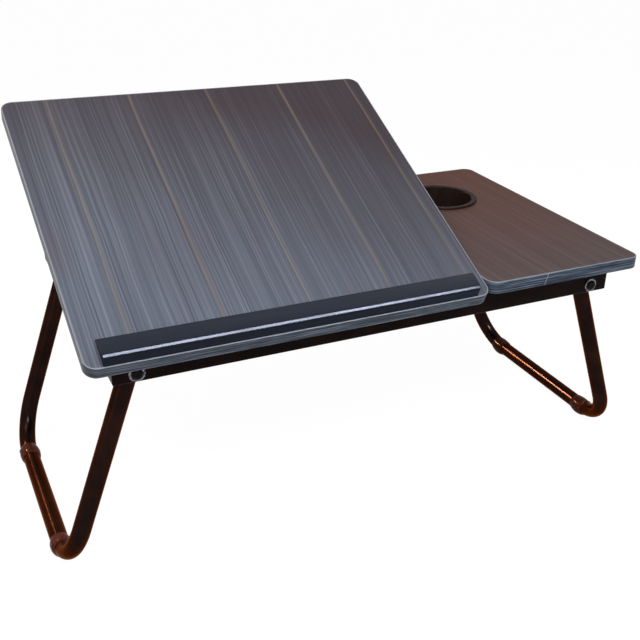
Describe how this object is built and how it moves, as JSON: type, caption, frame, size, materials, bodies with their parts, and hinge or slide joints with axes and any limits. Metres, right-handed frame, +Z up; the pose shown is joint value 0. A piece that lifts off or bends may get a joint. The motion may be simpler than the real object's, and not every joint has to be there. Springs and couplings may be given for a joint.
{
  "type": "laptop bed table",
  "caption": "Low folding table for use in bed: a tilting board with a stopper bar, a fixed side board with a cup insert, a steel frame and leaning tube legs that fold flat.",
  "frame": {"origin": "on the floor under the middle of the whole table at rest, legs open and board tilted", "axes": "+X towards the side board, +Y away from the user, +Z up"},
  "size_m": [0.688, 0.3622, 0.399],
  "materials": {
    "fibreboard": "raw pressed fibreboard",
    "laminate": "grey-brown wood-look laminate with fine streaks, satin",
    "edge_band": "blue-grey streaked edging, satin",
    "stopper_grey": "smooth dark grey, satin",
    "cup_plastic": "glossy black",
    "frame_paint": "semi-gloss black-brown paint",
    "leg_paint": "glossy black paint",
    "foot_plastic": "smooth black moulded plastic",
    "plug_plastic": "matt black",
    "zinc_plate": "bright zinc plate",
    "bright_washer": "bright plated",
    "dark_bolt": "dark polished dome"
  },
  "bodies": {
    "frame": {"front_rail": "frame_paint", "back_rail": "frame_paint", "left_end_rail": "frame_paint", "right_end_rail": "frame_paint", "seam_cross_bar": "frame_paint", "rack_cross_bar": "frame_paint", "prop_rack": "zinc_plate", "fixed_board_core": "fibreboard", "fixed_board_laminate": "laminate", "fixed_board_edge_band": "edge_band", "cup_insert": "cup_plastic", "fixed_board_screw_front_inner": "zinc_plate", "fixed_board_screw_front_outer": "zinc_plate", "fixed_board_screw_back_inner": "zinc_plate", "fixed_board_screw_back_outer": "zinc_plate", "left_hinge_frame_leaf": "frame_paint", "right_hinge_frame_leaf": "frame_paint", "left_hinge_pin": "frame_paint", "right_hinge_pin": "frame_paint", "left_front_pivot_bolt": "dark_bolt", "left_back_pivot_bolt": "dark_bolt", "right_front_pivot_bolt": "dark_bolt", "right_back_pivot_bolt": "dark_bolt", "left_front_pivot_washer": "bright_washer", "left_back_pivot_washer": "bright_washer", "right_front_pivot_washer": "bright_washer", "right_back_pivot_washer": "bright_washer", "left_front_pivot_spacer": "plug_plastic", "left_back_pivot_spacer": "plug_plastic", "right_front_pivot_spacer": "plug_plastic", "right_back_pivot_spacer": "plug_plastic", "left_front_pivot_nut": "zinc_plate", "left_back_pivot_nut": "zinc_plate", "right_front_pivot_nut": "zinc_plate", "right_back_pivot_nut": "zinc_plate"},
    "tilt_board": {"tilt_board_core": "fibreboard", "tilt_board_laminate": "laminate", "tilt_board_edge_band": "edge_band", "stopper_bar": "stopper_grey", "left_hinge_board_leaf": "frame_paint", "right_hinge_board_leaf": "frame_paint", "left_prop_bracket": "zinc_plate", "right_prop_bracket": "zinc_plate"},
    "prop": {"prop_rod": "zinc_plate"},
    "left_leg": {"left_leg_tube": "leg_paint", "left_leg_front_plug": "plug_plastic", "left_leg_back_plug": "plug_plastic", "left_front_foot": "foot_plastic", "left_back_foot": "foot_plastic", "left_front_foot_screw": "dark_bolt", "left_back_foot_screw": "dark_bolt"},
    "right_leg": {"right_leg_tube": "leg_paint", "right_leg_front_plug": "plug_plastic", "right_leg_back_plug": "plug_plastic", "right_front_foot": "foot_plastic", "right_back_foot": "foot_plastic", "right_front_foot_screw": "dark_bolt", "right_back_foot_screw": "dark_bolt"}
  },
  "joints": [
    {"name": "board_tilt", "type": "hinge", "parent": "frame", "child": "tilt_board", "pos_m": [-0.0985, -0.15615, 0.2417], "axis": [1, 0, 0], "range_deg": [-25, 10]},
    {"name": "prop_swing", "type": "hinge", "parent": "tilt_board", "child": "prop", "pos_m": [-0.0985, -0.04921, 0.29157], "axis": [1, 0, 0], "range_deg": [-20, 50]},
    {"name": "left_leg_fold", "type": "hinge", "parent": "frame", "child": "left_leg", "pos_m": [-0.2525, 0.00765, 0.2235], "axis": [0, -1, 0], "range_deg": [0, 110.5]},
    {"name": "right_leg_fold", "type": "hinge", "parent": "frame", "child": "right_leg", "pos_m": [0.2525, 0.00765, 0.2235], "axis": [0, 1, 0], "range_deg": [0, 110.5]}
  ],
  "couplings": [
    {"joint": "prop_swing", "follows": "board_tilt", "ratio": -2}
  ]
}
